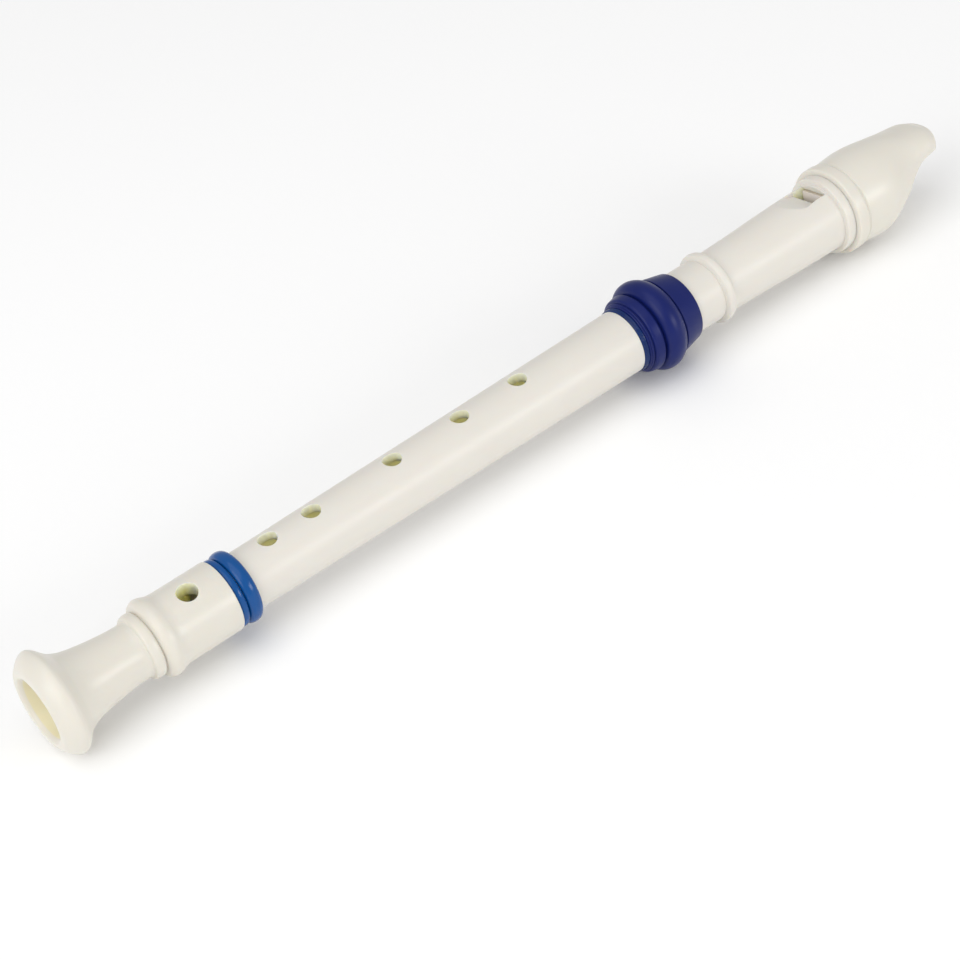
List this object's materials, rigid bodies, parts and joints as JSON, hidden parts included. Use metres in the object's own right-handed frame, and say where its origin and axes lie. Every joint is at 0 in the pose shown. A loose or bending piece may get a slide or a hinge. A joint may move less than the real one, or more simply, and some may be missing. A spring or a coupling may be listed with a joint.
{
  "type": "soprano recorder",
  "caption": "Plastic soprano recorder in three joints, ivory with a blue sleeve and rings, with a beak mouthpiece, a window and finger holes along the front.",
  "frame": {"origin": "centre of the bell's mouth, on the bore's axis", "axes": "+X along the bore from the bell to the beak tip; +Z out through the finger holes of the middle joint; +Y completes a right-handed frame"},
  "size_m": [0.3225, 0.03, 0.03],
  "materials": {
    "ivory_abs": "satin",
    "cream_abs": "satin",
    "block_white": "matte",
    "bright_blue": "glossy",
    "navy_satin": "satin"
  },
  "bodies": {
    "middle": {"middle_tube": "ivory_abs"},
    "head_collar": {"middle_end_ring": "bright_blue"},
    "head": {"head_sleeve": "navy_satin", "head_barrel": "ivory_abs", "windway_block": "block_white", "mouthpiece": "cream_abs"},
    "foot_collar": {"foot_ring_large": "bright_blue"},
    "foot": {"foot_joint": "cream_abs", "foot_ring_small": "bright_blue"}
  },
  "joints": [
    {"name": "head_turn", "type": "hinge", "parent": "middle", "child": "head_collar", "pos_m": [0.2, 0, 0], "axis": [1, 0, 0], "continuous": true},
    {"name": "head_pull", "type": "slide", "parent": "head_collar", "child": "head", "axis": [1, 0, 0], "range_m": [0, 0.022]},
    {"name": "foot_pull", "type": "slide", "parent": "middle", "child": "foot_collar", "axis": [-1, 0, 0], "range_m": [0, 0.014]},
    {"name": "foot_turn", "type": "hinge", "parent": "foot_collar", "child": "foot", "pos_m": [0.06, 0, 0], "axis": [1, 0, 0], "continuous": true}
  ]
}
